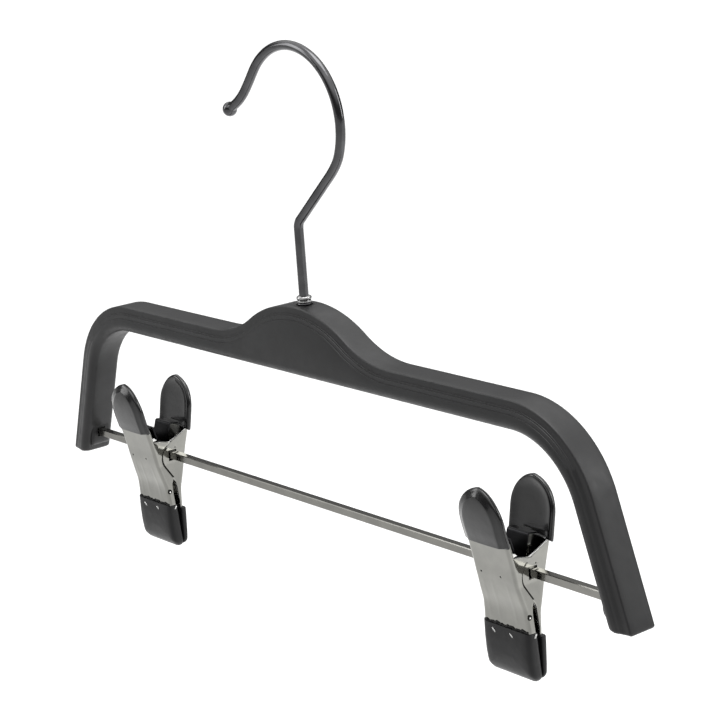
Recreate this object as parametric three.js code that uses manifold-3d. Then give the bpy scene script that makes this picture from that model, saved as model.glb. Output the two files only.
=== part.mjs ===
// A clothes hanger for skirts and trousers: an arched body with a swivelling wire hook,
// a square bar between its legs, and two sprung clips that slide along the bar.
//
// Millimetres, +Z up. X runs across the hanger and its front faces -Y.
// The origin is the seat inside the top of the hook, where a rail carries the hanger.
// Heights below are measured up from the flat feet of the legs, and the last step lowers
// everything so that the seat comes to the origin.

import * as THREE from 'three';
import { mergeVertices } from 'three/addons/utils/BufferGeometryUtils.js';
import Module from 'manifold-3d';

const wasm = await Module();
wasm.setup();

const DEGREE = Math.PI / 180;
const GAP = 0.3; // clearance between pieces that rest on each other

// Body
const OVERALL_WIDTH = 360;
const LEG_SPLAY = 19 * DEGREE; // lean of the legs from the vertical
const LEG_DEPTH = 10.45; // square across a leg, in the plane of the hanger
const BEAM_TOP = 75.8;
const BEAM_DEPTH = 11.3;
const CORNER_RADIUS = 43; // outside of the shoulders
const INNER_CORNER_RADIUS = 32.2;
const HUMP_TOP = 92.8;
const HUMP_RADIUS = 55.1;
const HUMP_HALF_WIDTH = 56.8;
const EDGE_THICKNESS = 12.4; // front to back at the outline
const CROWN_STEPS = 2; // raised contours on each face
const CROWN_STEP_INSET = 1.9;
const CROWN_STEP_HEIGHT = 0.6;
const EDGE_ROUND = 0.8;

// Square bar and its sockets
const BAR_SIDE = 3.3;
const BAR_HEIGHT = 9.56; // centre of the bar
const BAR_END = 170; // half its length
const BOSS_FACE = 164.6; // distance of each socket's face from the middle
const BOSS_WIDTH = 9.4;

// Hook
const WIRE_RADIUS = 1.95;
const BALL_RADIUS = 3;
const HOOK_RADIUS = 29.7; // to the wire's centre line
const HOOK_CENTRE = { x: 1.4, z: 166.1 };
const HOOK_REST = { x: 0, z: 193.8 }; // the seat inside the top of the hook
const SHANK_FOOT = 68; // lower end of the wire
const SHANK_TOP = 123.6; // where its bend starts
const SHANK_BEND = 4.7;
const RISE_SLOPE = 42.8 * DEGREE; // of the straight rise, above the horizontal
const RISE_LENGTH = 23.5;
const ROUND_FROM = -22 * DEGREE;
const ROUND_TO = 141 * DEGREE;
const HOOK_TIP = { x: -38.6, z: 169.2 };
const TIP_SLOPE = 24 * DEGREE;
const COLLAR_RADIUS = 3.1;
const COLLAR_FOOT = 93.8;
const COLLAR_HEIGHT = 2.6;
const BUSHING_RADIUS = 2.7;
const WELL_RADIUS = 4.3; // counterbore under the beam for the washer and nut
const WELL_TOP = 73.5;

// Clips, in a frame whose origin is the bar's centre line
const CLIP_PLACES = { left: -116.2, right: 115.2 }; // along the bar
const PLATE = 0.8; // sheet thickness
const FRONT_WIDTH = 22.4;
const REAR_WIDTH = 20.2; // its flanges stand inside the front plate's
const FLARE = { from: -4, to: -22, widening: 0.136 }; // the plates widen towards the jaw
const EAR = { y: 0, z: -1, front: 6.7, rear: 7 }; // round edges of the two flanges about the bar
const STRAP_WIDTH = 15;
const GRIP_WIDTH = 22.8;
const GRIP_THICKNESS = 3.2;
const PAD_WIDTH = 25.4;
const FRONT_PAD_TOP = -22;
const REAR_PAD_TOP = -24.6;
const SPRING_WIDTH = 12;
const SPRING_SHEET = 0.6;

const bodyPlastic = { color: 0x2b2b2c, roughness: 0.62, metalness: 0 };
const platedWire = { color: 0x3a3a3b, roughness: 0.25, metalness: 1 };
const platedSheet = { color: 0x8c8b84, roughness: 0.32, metalness: 1 };
const platedBar = { color: 0x6d6c67, roughness: 0.28, metalness: 1 };
const glossVinyl = { color: 0x1c1c1d, roughness: 0.25, metalness: 0 };
const satinVinyl = { color: 0x2e2e2f, roughness: 0.55, metalness: 0 };
const springSteel = { color: 0x222222, roughness: 0.4, metalness: 1 };

const hanger = new THREE.Group();

function addMesh(name, geometry, finish, parent = hanger) {
  const material = new THREE.MeshStandardMaterial(finish);
  const mesh = new THREE.Mesh(geometry, material);
  mesh.name = name;
  parent.add(mesh);
  return mesh;
}

// Booleans: a closed geometry becomes a solid, and a solid becomes a geometry again.

function solidOf(geometry) {
  const bare = geometry.clone();
  bare.deleteAttribute('normal');
  bare.deleteAttribute('uv');
  const merged = mergeVertices(bare, 1e-4);
  const mesh = new wasm.Mesh({
    numProp: 3,
    vertProperties: new Float32Array(merged.attributes.position.array),
    triVerts: new Uint32Array(merged.index.array),
  });
  return new wasm.Manifold(mesh);
}

function geometryOf(solid) {
  const mesh = solid.getMesh();
  const geometry = new THREE.BufferGeometry();
  geometry.setAttribute('position', new THREE.BufferAttribute(mesh.vertProperties, 3));
  geometry.setIndex(new THREE.BufferAttribute(mesh.triVerts, 1));
  geometry.computeVertexNormals();
  return geometry;
}

function cut(solid, ...tools) {
  return tools.reduce((left, tool) => left.subtract(tool), solid);
}

function join(solid, ...others) {
  return others.reduce((whole, other) => whole.add(other), solid);
}

// Extrusions. A profile in (x, z) runs along Y, and a profile in (y, z) runs along X.

function alongY(shape, back, front, bevel = 0, curveSegments = 8) {
  const geometry = new THREE.ExtrudeGeometry(shape, {
    depth: back - front - 2 * bevel,
    bevelEnabled: bevel > 0,
    bevelThickness: bevel,
    bevelSize: bevel,
    bevelOffset: -bevel,
    bevelSegments: 2,
    curveSegments,
  });
  geometry.rotateX(Math.PI / 2);
  geometry.translate(0, back - bevel, 0);
  return geometry;
}

function alongX(shape, width, curveSegments = 8) {
  const geometry = new THREE.ExtrudeGeometry(shape, { depth: width, bevelEnabled: false, curveSegments });
  // the drawn (x, y) become (y, z), and the depth runs along X
  const turn = new THREE.Matrix4().set(0, 0, 1, -width / 2, 1, 0, 0, 0, 0, 1, 0, 0, 0, 0, 0, 1);
  geometry.applyMatrix4(turn);
  return geometry;
}

function polygon(points) {
  return new THREE.Shape(points.map(([a, b]) => new THREE.Vector2(a, b)));
}

function ring(inner, outer, foot, height, sides = 24) {
  const profile = [
    [inner, foot],
    [outer, foot],
    [outer, foot + height],
    [inner, foot + height],
    [inner, foot],
  ];
  return turned(profile, sides);
}

// A turned piece about Z, from a profile of (radius, height) points.
function turned(profile, sides = 24) {
  const points = profile.map(([radius, height]) => new THREE.Vector2(radius, height));
  const geometry = new THREE.LatheGeometry(points, sides);
  geometry.rotateX(Math.PI / 2);
  return geometry;
}

// Body: the outline is drawn once, with an inset that makes the raised contours.

function bodyOutline(inset) {
  const cosine = Math.cos(LEG_SPLAY);
  const sine = Math.sin(LEG_SPLAY);
  const outerLine = (OVERALL_WIDTH / 2) * cosine; // distance of the leg's outside from the axis
  const innerLine = outerLine - LEG_DEPTH;
  const cornerZ = BEAM_TOP - CORNER_RADIUS;
  const cornerX = (outerLine - CORNER_RADIUS - cornerZ * sine) / cosine;
  const underside = BEAM_TOP - BEAM_DEPTH;
  const innerZ = underside - INNER_CORNER_RADIUS;
  const innerX = (innerLine - INNER_CORNER_RADIUS - innerZ * sine) / cosine;
  const humpZ = HUMP_TOP - HUMP_RADIUS;
  const rise = BEAM_TOP - humpZ;
  // the hollow fillet is tangent to the beam's top and to the hump
  const hollow = (HUMP_HALF_WIDTH ** 2 + rise ** 2 - HUMP_RADIUS ** 2) / (2 * (HUMP_RADIUS - rise));
  const hollowZ = BEAM_TOP + hollow;
  const meet = Math.atan2(hollowZ - humpZ, HUMP_HALF_WIDTH);
  const foot = inset;
  const footOuter = (outerLine - inset - foot * sine) / cosine;
  const footInner = (innerLine + inset - foot * sine) / cosine;
  const outerRadius = CORNER_RADIUS - inset;
  const innerRadius = INNER_CORNER_RADIUS + inset;
  const half = Math.PI / 2;
  const shape = new THREE.Shape();
  shape.moveTo(0, HUMP_TOP - inset);
  shape.absarc(0, humpZ, HUMP_RADIUS - inset, half, meet, true);
  shape.absarc(HUMP_HALF_WIDTH, hollowZ, hollow + inset, meet + Math.PI, 3 * half, false);
  shape.absarc(cornerX, cornerZ, outerRadius, half, LEG_SPLAY, true);
  shape.lineTo(footOuter, foot);
  shape.lineTo(footInner, foot);
  shape.absarc(innerX, innerZ, innerRadius, LEG_SPLAY, half, false);
  shape.absarc(-innerX, innerZ, innerRadius, half, Math.PI - LEG_SPLAY, false);
  shape.lineTo(-footInner, foot);
  shape.lineTo(-footOuter, foot);
  shape.absarc(-cornerX, cornerZ, outerRadius, Math.PI - LEG_SPLAY, half, true);
  shape.absarc(-HUMP_HALF_WIDTH, hollowZ, hollow + inset, 3 * half, 2 * Math.PI - meet, false);
  shape.absarc(0, humpZ, HUMP_RADIUS - inset, Math.PI - meet, half, true);
  return shape;
}

function hangerBody() {
  const halfEdge = EDGE_THICKNESS / 2;
  let body = solidOf(alongY(bodyOutline(0), halfEdge, -halfEdge, EDGE_ROUND));
  for (let step = 1; step <= CROWN_STEPS; step += 1) {
    const reach = halfEdge + step * CROWN_STEP_HEIGHT;
    const contour = alongY(bodyOutline(step * CROWN_STEP_INSET), reach, -reach, 0.4);
    body = join(body, solidOf(contour));
  }
  const bossOutline = [
    [BOSS_FACE, 13],
    [BOSS_FACE, 6.6],
    [BOSS_FACE + 0.7, 4.4],
    [BOSS_FACE + 2.4, 3.1],
    [BOSS_FACE + 6, 2.9],
    [BOSS_FACE + 6, 14],
    [BOSS_FACE + 0.6, 14],
  ];
  const socket = BAR_SIDE + 2 * GAP;
  for (const side of [-1, 1]) {
    const outline = bossOutline.map(([x, z]) => [side * x, z]);
    const boss = polygon(side > 0 ? outline.reverse() : outline);
    body = join(body, solidOf(alongY(boss, BOSS_WIDTH / 2, -BOSS_WIDTH / 2, 0.6)));
    const hole = new THREE.BoxGeometry(2 * (BAR_END + GAP - BOSS_FACE) + 2, socket, socket);
    hole.translate(side * (BOSS_FACE - 1), 0, BAR_HEIGHT);
    body = cut(body, solidOf(hole));
  }
  const bore = BUSHING_RADIUS + GAP;
  const seat = COLLAR_RADIUS + GAP;
  const well = turned([[0, 50], [WELL_RADIUS, 50], [WELL_RADIUS, WELL_TOP], [bore, WELL_TOP],
    [bore, HUMP_TOP - 0.5], [seat, HUMP_TOP - 0.5], [seat, HUMP_TOP + 5], [0, HUMP_TOP + 5]]);
  return geometryOf(cut(body, solidOf(well)));
}

// Hook: a straight shank, a slanted rise, the round of the hook and a flared tip.

class Arc extends THREE.Curve {
  constructor(x, z, radius, from, to) {
    super();
    Object.assign(this, { x, z, radius, from, to });
  }

  getPoint(t, target = new THREE.Vector3()) {
    const angle = this.from + (this.to - this.from) * t;
    return target.set(this.x + this.radius * Math.cos(angle), 0, this.z + this.radius * Math.sin(angle));
  }
}

function hookPath() {
  const path = new THREE.CurvePath();
  const point = (x, z) => new THREE.Vector3(x, 0, z);
  const onRound = (angle) => point(
    HOOK_CENTRE.x + HOOK_RADIUS * Math.cos(angle),
    HOOK_CENTRE.z + HOOK_RADIUS * Math.sin(angle),
  );
  const ahead = (from, angle, distance) => point(
    from.x + distance * Math.cos(angle),
    from.z + distance * Math.sin(angle),
  );
  const right = 90 * DEGREE;
  // the shank bends over into a straight rise, which eases into the round
  const bendTop = point(
    SHANK_BEND * (1 - Math.cos(right - RISE_SLOPE)),
    SHANK_TOP + SHANK_BEND * Math.sin(right - RISE_SLOPE),
  );
  const riseTop = ahead(bendTop, RISE_SLOPE, RISE_LENGTH);
  const roundStart = onRound(ROUND_FROM);
  const roundEnd = onRound(ROUND_TO);
  const ease = 5;
  path.add(new THREE.LineCurve3(point(0, SHANK_FOOT), point(0, SHANK_TOP)));
  path.add(new Arc(SHANK_BEND, SHANK_TOP, SHANK_BEND, 2 * right, right + RISE_SLOPE));
  path.add(new THREE.LineCurve3(bendTop, riseTop));
  path.add(new THREE.CubicBezierCurve3(
    riseTop,
    ahead(riseTop, RISE_SLOPE, ease),
    ahead(roundStart, ROUND_FROM - right, ease),
    roundStart,
  ));
  path.add(new Arc(HOOK_CENTRE.x, HOOK_CENTRE.z, HOOK_RADIUS, ROUND_FROM, ROUND_TO));
  // past the round the wire runs down and flares out to its tip
  const tip = point(HOOK_TIP.x, HOOK_TIP.z);
  path.add(new THREE.CubicBezierCurve3(
    roundEnd,
    ahead(roundEnd, ROUND_TO + right, 9),
    ahead(tip, TIP_SLOPE, 9),
    tip,
  ));
  return path;
}

function hookWire() {
  const section = new THREE.Shape();
  section.absarc(0, 0, WIRE_RADIUS, 0, 2 * Math.PI, false);
  const path = hookPath();
  const wire = new THREE.ExtrudeGeometry(section, {
    steps: 110,
    extrudePath: path,
    curveSegments: 6,
    bevelEnabled: false,
  });
  const ball = new THREE.SphereGeometry(BALL_RADIUS, 16, 12);
  const end = path.getPoint(1);
  ball.translate(end.x - 1.2, 0, end.z - 0.8);
  return geometryOf(join(solidOf(wire), solidOf(ball)));
}

function hookCollar() {
  const inner = WIRE_RADIUS + GAP;
  const top = COLLAR_FOOT + COLLAR_HEIGHT;
  return turned([[inner, COLLAR_FOOT], [2.7, COLLAR_FOOT], [COLLAR_RADIUS, COLLAR_FOOT + 0.8],
    [COLLAR_RADIUS, top - 0.9], [2.5, top], [inner, top], [inner, COLLAR_FOOT]]);
}

function hookBushing() {
  const inner = WIRE_RADIUS + GAP + 0.05;
  const foot = WELL_TOP + GAP;
  const seat = HUMP_TOP - 0.5 + GAP;
  const top = COLLAR_FOOT - GAP;
  return turned([[inner, foot], [BUSHING_RADIUS, foot], [BUSHING_RADIUS, seat], [COLLAR_RADIUS, seat],
    [COLLAR_RADIUS, top], [inner, top], [inner, foot]]);
}

// Clips are drawn in their own frame: the origin is the bar's centre line, at the clip's middle.
// Each plate is one sheet. Its line follows the middle of the sheet from the jaw up to the
// handle, as (y, z) points.

const FRONT_LINE = [[-3.7, -38.5], [-4.9, -22], [-5.7, -14.2], [-7.3, -8.6], [-8.9, -2.6], [-10.3, 3.9],
  [-11.45, 8.5], [-12.6, 13], [-13.9, 17.5], [-15.2, 23.5], [-15.8, 28]];
const REAR_LINE = [[1.8, -38.5], [2.1, -22], [2.7, -15.9], [3.7, -12.4], [5.4, -6.4], [7.3, 1.7],
  [9.5, 10], [10.4, 15], [11.5, 22], [12.4, 28]];
const FRONT_GRIP = { line: FRONT_LINE, foot: 12.3, top: 33.6 };
const REAR_GRIP = { line: REAR_LINE, foot: 9.6, top: 32.6 };

// A sheet seen from its edge: the line, made thick to both sides along Y.
function strip(line, thickness) {
  const half = thickness / 2;
  const front = line.map(([y, z]) => [y - half, z]);
  const back = line.map(([y, z]) => [y + half, z]);
  return polygon([...back, ...front.reverse()]);
}

// The line's y at a height, with its end segments carried on past their ends.
function depthAt(line, height) {
  const last = line.length - 1;
  const above = line.findIndex(([, z]) => z > height);
  const next = above < 0 ? last : Math.max(above, 1);
  const [fromY, fromZ] = line[next - 1];
  const [toY, toZ] = line[next];
  return fromY + ((toY - fromY) * (height - fromZ)) / (toZ - fromZ);
}

function slab(line, thickness, width) {
  return solidOf(alongX(strip(line, thickness), width));
}

// Direction from the ear's centre to where a tangent through the point touches the round edge.
function tangentAngle(point, radius, side) {
  const y = point[0] - EAR.y;
  const z = point[1] - EAR.z;
  return Math.atan2(z, y) + side * Math.acos(radius / Math.hypot(y, z));
}

// Widens a piece of a plate evenly below the bar.
function flared(solid) {
  return solid.warp((vertex) => {
    const share = (FLARE.from - vertex[2]) / (FLARE.from - FLARE.to);
    vertex[0] *= 1 + FLARE.widening * Math.min(Math.max(share, 0), 1);
  });
}

// A plate: a full-width sheet between its jaw and its handle, narrow straps at both ends, and
// two side flanges, which are what is left of a solid flange once the space inside is cut away.
function plate(line, flange, hollow, width, jawEnd, gripFoot) {
  const middle = line.filter(([, z]) => z > jawEnd && z < gripFoot);
  const sheetLine = [[depthAt(line, jawEnd), jawEnd], ...middle, [depthAt(line, gripFoot), gripFoot]];
  const sides = cut(solidOf(alongX(flange, width)), solidOf(alongX(hollow, width - 2 * PLATE)));
  return flared(join(sides, slab(sheetLine, PLATE, width), slab(line, PLATE, STRAP_WIDTH)));
}

function rearPlate() {
  const jawEnd = REAR_PAD_TOP + GAP;
  const flangeTop = REAR_GRIP.foot - GAP;
  const flangeLine = [...REAR_LINE.slice(1, 6), [depthAt(REAR_LINE, flangeTop), flangeTop]];
  const outside = flangeLine.map(([y, z]) => [y + PLATE / 2, z]);
  const corner = [6.4, 9.2];
  const chin = [-1.7, -10.6];
  const flange = new THREE.Shape();
  flange.moveTo(...outside[5]);
  flange.lineTo(...corner);
  const top = tangentAngle(corner, EAR.rear, 1);
  const bottom = tangentAngle(chin, EAR.rear, -1) + 2 * Math.PI;
  flange.absarc(EAR.y, EAR.z, EAR.rear, top, bottom);
  for (const point of [chin, [-0.9, -11.6], [-0.4, -14], [0.2, -22], ...outside]) {
    flange.lineTo(...point);
  }
  const inside = outside.map(([y, z]) => [y - PLATE, z]);
  const hollow = polygon([[-20, -30], [inside[0][0], -30], ...inside, [inside[5][0], 20], [-20, 20]]);
  const socket = BAR_SIDE + 2 * GAP;
  const hole = new THREE.BoxGeometry(REAR_WIDTH + 2, socket, socket);
  const whole = plate(REAR_LINE, flange, hollow, REAR_WIDTH, jawEnd, flangeTop);
  return geometryOf(cut(whole, solidOf(hole)));
}

// The front plate's flanges lie outside the rear plate's and are cut out round the bar.
function frontPlate() {
  const jawEnd = FRONT_PAD_TOP + GAP;
  const outside = FRONT_LINE.slice(1, 7).map(([y, z]) => [y - PLATE / 2, z]);
  const corner = [-1.1, 6.3];
  const chin = [-1.7, -10.6];
  const flange = new THREE.Shape();
  flange.moveTo(...outside[5]);
  const rear = [[-2.2, -21.5], [-2.5, -15.4], [-2.4, -12.6], chin];
  for (const point of [...outside.slice(0, 5).reverse(), ...rear]) {
    flange.lineTo(...point);
  }
  const bottom = tangentAngle(chin, EAR.front, -1) + 2 * Math.PI;
  const top = tangentAngle(corner, EAR.front, 1);
  flange.absarc(EAR.y, EAR.z, EAR.front, bottom, top, true);
  for (const point of [corner, [-7, 7.6]]) {
    flange.lineTo(...point);
  }
  const inside = outside.map(([y, z]) => [y + PLATE, z]);
  const hollow = [[20, -30], [20, 20], [inside[5][0], 20], ...[...inside].reverse(), [inside[0][0], -30]];
  const foot = FRONT_GRIP.foot - GAP;
  return geometryOf(plate(FRONT_LINE, flange, polygon(hollow), FRONT_WIDTH, jawEnd, foot));
}

// Grips: thumb-shaped vinyl caps over the handles' straps, curved with them and round on top.
function grip({ line, foot, top }) {
  const half = GRIP_WIDTH / 2;
  const arch = new THREE.Shape();
  arch.moveTo(-half, foot);
  arch.lineTo(half, foot);
  arch.absarc(0, top - half, half, 0, Math.PI, false);
  const [endY, endZ] = line[line.length - 1];
  const inside = [[depthAt(line, foot - 1), foot - 1], ...line.filter(([, z]) => z > foot)];
  const blank = slab([...inside, [endY, top + 1]], GRIP_THICKNESS, GRIP_WIDTH + 2);
  const cap = blank.intersect(solidOf(alongY(arch, 30, -30, 0, 8)));
  const pocket = slab([...inside, [endY, endZ + GAP]], PLATE + 2 * GAP, STRAP_WIDTH + 2 * GAP);
  return geometryOf(cut(cap, pocket));
}

// Jaw pads: vinyl boots over the plates' lower ends, meeting where they grip the cloth.
function pad(outline, line) {
  const [footY, footZ] = line[0];
  const pocket = [[footY, footZ - GAP], line[1], [line[1][0], line[1][1] + 2]];
  const boot = solidOf(alongX(polygon(outline), PAD_WIDTH));
  const strap = STRAP_WIDTH * (1 + FLARE.widening);
  return geometryOf(cut(boot, slab(pocket, PLATE + 2 * GAP, strap + 2 * GAP)));
}

const FRONT_PAD = [[-6.1, FRONT_PAD_TOP], [-6.2, -28], [-5.9, -34], [-5.1, -39], [-3.4, -41.8], [-1.6, -42.6],
  [0.1, -42.6], [0.1, -41], [-1.7, FRONT_PAD_TOP]];
const REAR_PAD = [[0.4, REAR_PAD_TOP], [0.4, -41.6], [1.5, -42], [2.7, -40.4], [3.1, -36], [3.4, -28],
  [3.4, REAR_PAD_TOP]];

// Spring: a strip bent into a narrow U above the bar. The ends of its legs turn outwards and
// push the two handles apart.

const SPRING_BEND = { y: -1.5, z: 5.1, radius: 2.3 };
const SPRING_FRONT = [[-10.4, 12.6], [-6.4, 13.6]];
const SPRING_REAR = [[3, 13], [7.2, 12.2]];

// The outline of a strip that follows the points, half its thickness to each side.
function ribbon(points, thickness) {
  const turn = points.map((point, i) => {
    const before = points[Math.max(i - 1, 0)];
    const after = points[Math.min(i + 1, points.length - 1)];
    const first = Math.atan2(point[1] - before[1], point[0] - before[0]);
    const second = Math.atan2(after[1] - point[1], after[0] - point[0]);
    const into = i === 0 ? second : first;
    const out = i === points.length - 1 ? first : second;
    const half = Math.atan2(Math.sin(out - into), Math.cos(out - into)) / 2;
    const reach = thickness / 2 / Math.cos(half);
    return [-reach * Math.sin(into + half), reach * Math.cos(into + half)];
  });
  const left = points.map(([y, z], i) => [y + turn[i][0], z + turn[i][1]]);
  const right = points.map(([y, z], i) => [y - turn[i][0], z - turn[i][1]]);
  return polygon([...right, ...left.reverse()]);
}

function leafSpring() {
  const { y, z, radius } = SPRING_BEND;
  const bend = [];
  for (let angle = 180; angle <= 360; angle += 20) {
    bend.push([y + radius * Math.cos(angle * DEGREE), z + radius * Math.sin(angle * DEGREE)]);
  }
  return alongX(ribbon([...SPRING_FRONT, ...bend, ...SPRING_REAR], SPRING_SHEET), SPRING_WIDTH);
}

function addClip(side) {
  const clip = new THREE.Group();
  clip.position.set(CLIP_PLACES[side], 0, BAR_HEIGHT);
  addMesh(`${side}_rear_plate`, rearPlate(), platedSheet, clip);
  addMesh(`${side}_front_plate`, frontPlate(), platedSheet, clip);
  addMesh(`${side}_rear_grip`, grip(REAR_GRIP), glossVinyl, clip);
  addMesh(`${side}_front_grip`, grip(FRONT_GRIP), glossVinyl, clip);
  addMesh(`${side}_rear_pad`, pad(REAR_PAD, REAR_LINE), satinVinyl, clip);
  addMesh(`${side}_front_pad`, pad(FRONT_PAD, FRONT_LINE), satinVinyl, clip);
  addMesh(`${side}_spring`, leafSpring(), springSteel, clip);
  hanger.add(clip);
}

function addBar() {
  const bar = addMesh('clip_bar', new THREE.BoxGeometry(2 * BAR_END, BAR_SIDE, BAR_SIDE), platedBar);
  bar.position.z = BAR_HEIGHT;
}

function addHook() {
  const inner = WIRE_RADIUS + GAP;
  addMesh('hook_wire', hookWire(), platedWire);
  addMesh('hook_collar', hookCollar(), platedWire);
  addMesh('hook_washer', ring(inner, WELL_RADIUS - 0.4, WELL_TOP - GAP - 1, 1), platedWire);
  addMesh('hook_nut', ring(inner, 3.6, WELL_TOP - 2 * GAP - 4, 3, 6), platedWire);
}

addMesh('hanger_body', hangerBody(), bodyPlastic);
addMesh('hook_bushing', hookBushing(), platedWire);
addBar();
addHook();
addClip('left');
addClip('right');

hanger.position.set(-HOOK_REST.x, 0, -HOOK_REST.z);

export default hanger;
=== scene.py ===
"""Looks of the clothes hanger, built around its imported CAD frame."""

import math

import bmesh
import bpy
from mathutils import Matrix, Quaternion, Vector


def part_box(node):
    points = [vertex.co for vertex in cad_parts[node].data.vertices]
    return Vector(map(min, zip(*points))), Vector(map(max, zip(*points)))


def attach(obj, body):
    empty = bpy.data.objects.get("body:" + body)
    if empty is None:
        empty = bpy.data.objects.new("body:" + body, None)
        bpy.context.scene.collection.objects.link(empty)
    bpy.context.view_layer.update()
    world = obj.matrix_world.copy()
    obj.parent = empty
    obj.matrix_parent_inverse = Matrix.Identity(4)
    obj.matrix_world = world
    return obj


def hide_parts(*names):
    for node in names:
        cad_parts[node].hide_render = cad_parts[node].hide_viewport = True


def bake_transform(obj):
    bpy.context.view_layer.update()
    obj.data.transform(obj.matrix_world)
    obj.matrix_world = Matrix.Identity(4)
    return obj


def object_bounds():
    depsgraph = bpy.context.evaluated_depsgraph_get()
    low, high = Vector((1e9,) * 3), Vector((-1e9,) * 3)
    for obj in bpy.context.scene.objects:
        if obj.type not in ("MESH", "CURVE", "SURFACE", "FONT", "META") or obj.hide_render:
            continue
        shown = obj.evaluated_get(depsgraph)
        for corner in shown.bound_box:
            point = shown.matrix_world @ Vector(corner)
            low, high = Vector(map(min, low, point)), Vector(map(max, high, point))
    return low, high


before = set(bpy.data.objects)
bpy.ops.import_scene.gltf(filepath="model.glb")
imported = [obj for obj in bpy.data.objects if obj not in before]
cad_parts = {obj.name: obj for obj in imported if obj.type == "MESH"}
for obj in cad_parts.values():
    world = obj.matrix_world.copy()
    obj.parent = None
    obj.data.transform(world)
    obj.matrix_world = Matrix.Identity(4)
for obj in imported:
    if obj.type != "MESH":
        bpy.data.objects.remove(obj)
CAD_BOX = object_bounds()

# Sizes are in millimetres, as in the CAD, and pieces are scaled to metres as they are made.
# Heights are measured up from the flat feet of the legs.
MM = 0.001
DEGREE = math.pi / 180


def box_mm(node):
    low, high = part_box(node)
    return Vector(low) / MM, Vector(high) / MM


FOOT = box_mm("hanger_body")[0].z
BAR = sum(box_mm("clip_bar"), Vector()) / 2

# Body
HALF_WIDTH = box_mm("hanger_body")[1].x
LEG_SPLAY = 19 * DEGREE
LEG_DEPTH = 10.45
BEAM_TOP = 75.8
BEAM_DEPTH = 11.3
CORNER_RADIUS = 43
INNER_CORNER_RADIUS = 32.2
HUMP_TOP = 92.8
HUMP_RADIUS = 55.1
HUMP_HALF_WIDTH = 56.8

# Hook
WIRE_RADIUS = 1.95
BALL_RADIUS = 3
HOOK_CENTRE = Vector((1.4, 166.1))
HOOK_RADIUS = 29.7
SHANK_FOOT = 68
SHANK_TOP = 123.6
SHANK_BEND = 4.7
RISE_SLOPE = 42.8 * DEGREE
RISE_LENGTH = 23.5
ROUND_FROM = -22 * DEGREE
ROUND_TO = 141 * DEGREE
HOOK_TIP = Vector((-38.6, 169.2))
TIP_SLOPE = 24 * DEGREE

# Clips, in their own frame: across, depth and height from the bar's centre line
SHEET = 0.8
FRONT_HALF = 11.2
REAR_HALF = 10.1  # its flanges stand inside the front plate's
GRIP_HALF = 11.4
GRIP_LEAN = 2.2  # how pointed the grips' arch is
PAD_HALF = 12.7
PAD_CORNER = 3.2
PAD_WAVE = 0.4
BEND = 1.1
FLARE_FROM = -4
FLARE_TO = -22
FLARE = 0.136  # how much wider the plates are at the jaw
RIB_DEPTH = 0.06
# Radius of the near-black strip of painted shade along the front pad's top edge
SHADE_STRIP_RADIUS = 0.24
EAR = Vector((0, -1))
FRONT_EAR = 6.7
REAR_EAR = 7
FRONT_LINE = [(-3.7, -38.5), (-4.9, -22), (-5.7, -14.2), (-7.3, -8.6), (-8.9, -2.6), (-10.3, 3.9),
              (-12.6, 13), (-13.9, 17.5), (-15.2, 23.5), (-15.8, 28), (-15.7, 34)]
REAR_LINE = [(1.8, -38.5), (2.1, -22), (2.7, -15.9), (3.7, -12.4), (5.4, -6.4), (7.3, 1.7),
             (9.5, 10), (10.4, 15), (11.5, 22), (12.4, 28), (12.5, 34)]


# ---------------------------------------------------------------- materials


class Material:
    """A node material: a principled shader and helpers that feed it."""

    def __init__(self, name, metallic=0.0, roughness=0.5, coat=0.0, coat_roughness=0.1, specular=0.5):
        self.material = bpy.data.materials.new(name)
        self.material.use_nodes = True
        self.nodes = self.material.node_tree.nodes
        self.links = self.material.node_tree.links
        self.shader = self.nodes["Principled BSDF"]
        self.shader.inputs["Metallic"].default_value = metallic
        self.shader.inputs["Roughness"].default_value = roughness
        self.shader.inputs["Specular IOR Level"].default_value = specular
        self.shader.inputs["Coat Weight"].default_value = coat
        self.shader.inputs["Coat Roughness"].default_value = coat_roughness
        self.place = self.nodes.new("ShaderNodeTexCoord").outputs["Object"]

    def noise(self, scale, detail=3.0, stretch=None):
        """Noise with a size per metre, drawn out along the axes where stretch is small."""
        place = self.place
        if stretch:
            mapping = self.nodes.new("ShaderNodeMapping")
            mapping.inputs["Scale"].default_value = stretch
            self.links.new(place, mapping.inputs["Vector"])
            place = mapping.outputs["Vector"]
        texture = self.nodes.new("ShaderNodeTexNoise")
        texture.inputs["Scale"].default_value = scale
        texture.inputs["Detail"].default_value = detail
        self.links.new(place, texture.inputs["Vector"])
        return texture.outputs["Fac"]

    def spread(self, value, low, high, start=0.3, end=0.7):
        """The value between start and end, carried over to between low and high."""
        spread = self.nodes.new("ShaderNodeMapRange")
        for name, number in (("From Min", start), ("From Max", end), ("To Min", low), ("To Max", high)):
            spread.inputs[name].default_value = number
        self.links.new(value, spread.inputs["Value"])
        return spread.outputs["Result"]

    def colour(self, value, dark, light, start=0.3, end=0.7):
        ramp = self.nodes.new("ShaderNodeValToRGB")
        first, last = ramp.color_ramp.elements
        first.position, last.position = start, end
        first.color, last.color = (*dark, 1), (*light, 1)
        self.links.new(value, ramp.inputs["Fac"])
        self.links.new(ramp.outputs["Color"], self.shader.inputs["Base Color"])

    def roughness(self, value, low, high):
        self.links.new(self.spread(value, low, high), self.shader.inputs["Roughness"])

    def bump(self, value, depth):
        """Depth is in metres from the lowest to the highest value."""
        bump = self.nodes.new("ShaderNodeBump")
        bump.inputs["Distance"].default_value = depth
        self.links.new(value, bump.inputs["Height"])
        if self.shader.inputs["Normal"].is_linked:
            below = self.shader.inputs["Normal"].links[0].from_socket
            self.links.new(below, bump.inputs["Normal"])
        self.links.new(bump.outputs["Normal"], self.shader.inputs["Normal"])


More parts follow.
